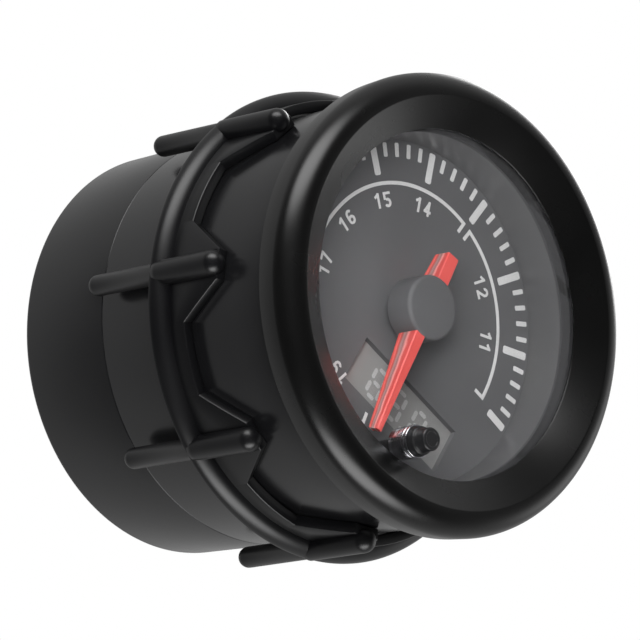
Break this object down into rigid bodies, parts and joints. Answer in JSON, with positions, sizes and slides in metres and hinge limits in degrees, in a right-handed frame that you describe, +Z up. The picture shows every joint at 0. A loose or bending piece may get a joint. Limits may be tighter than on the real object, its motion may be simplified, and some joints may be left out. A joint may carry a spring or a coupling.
{
  "type": "panel gauge",
  "caption": "Round panel gauge with a clear window, stepper-driven pointer, small digital display, push button and a sliding clamp ring on its can.",
  "frame": {"origin": "centre of the bezel's rear seat, on the gauge's axis", "axes": "the gauge faces -Y, +Y runs rearwards along the can's axis, dial right is +X and dial up is +Z"},
  "size_m": [0.0586, 0.0524, 0.0586],
  "materials": {
    "can_black": "satin",
    "bezel_black": "satin",
    "ring_black": "satin",
    "funnel_black": "gloss",
    "inner_black": "satin",
    "button_black": "gloss",
    "lens_clear": "clear",
    "guide_clear": "clear",
    "display_glass": "satin",
    "segment_grey": "satin",
    "gasket_rubber": "matte",
    "dial_grey": "matte",
    "print_white": "matte",
    "lamp_cream": "satin",
    "white_plastic": "satin",
    "board_green": "satin",
    "steel": "satin",
    "magnet": "satin",
    "coil_copper": "satin",
    "brass": "satin",
    "aluminium": "satin",
    "pointer_red": "gloss",
    "foil_red": "gloss",
    "hub_grey": "matte",
    "chrome": "polished"
  },
  "bodies": {
    "gauge": {"can_housing": "can_black", "rear_cap": "can_black", "cap_screws": "steel", "bezel_ring": "bezel_black", "lens": "lens_clear", "lens_gasket": "gasket_rubber", "funnel_ring": "funnel_black", "dial_plate": "dial_grey", "scale_marks": "print_white", "zone_lines": "print_white", "numerals": "print_white", "light_guide": "guide_clear", "backlight_lamps": "lamp_cream", "display_glass": "display_glass", "display_segments": "segment_grey", "display_backlight": "white_plastic", "display_strip": "gasket_rubber", "main_board": "board_green", "main_board_screws": "steel", "motor_front": "inner_black", "motor_back": "inner_black", "stator": "steel", "coils": "coil_copper", "motor_pins": "brass", "button_collar": "chrome", "switch_case": "inner_black", "control_board": "board_green", "control_board_screws": "steel", "link_blocks": "inner_black", "link_pins": "brass", "chips": "inner_black", "capacitors": "aluminium", "connector_block": "inner_black", "connector_pins": "brass"},
    "pointer": {"output_wheel": "white_plastic", "pointer_blade": "pointer_red", "pointer_foil": "foil_red", "hub_cap": "hub_grey"},
    "middle_wheel": {"middle_wheel": "white_plastic"},
    "rotor": {"rotor_magnet": "magnet", "rotor_pinion": "white_plastic"},
    "button": {"button_cap": "button_black", "button_stem": "white_plastic", "switch_plunger": "white_plastic"},
    "clamp": {"clamp_ring": "ring_black"}
  },
  "joints": [
    {"name": "pointer_spin", "type": "hinge", "parent": "gauge", "child": "pointer", "pos_m": [0, 0, 0], "axis": [0, -1, 0], "range_deg": [-280, 5.5]},
    {"name": "middle_spin", "type": "hinge", "parent": "gauge", "child": "middle_wheel", "pos_m": [0, 0.0125, 0.00875], "axis": [0, -1, 0], "range_deg": [-60, 1700]},
    {"name": "rotor_spin", "type": "hinge", "parent": "gauge", "child": "rotor", "pos_m": [0, 0.015, 0.01575], "axis": [0, -1, 0], "range_deg": [-10200, 300]},
    {"name": "button_press", "type": "slide", "parent": "gauge", "child": "button", "axis": [0, 1, 0], "range_m": [0, 0.0005], "stiffness_N_per_m": 400, "springref_m": -0.001},
    {"name": "clamp_slide", "type": "slide", "parent": "gauge", "child": "clamp", "axis": [0, 1, 0], "range_m": [-0.0065, 0.04]}
  ],
  "couplings": [
    {"joint": "middle_spin", "follows": "pointer_spin", "ratio": -6},
    {"joint": "rotor_spin", "follows": "pointer_spin", "ratio": 36}
  ]
}
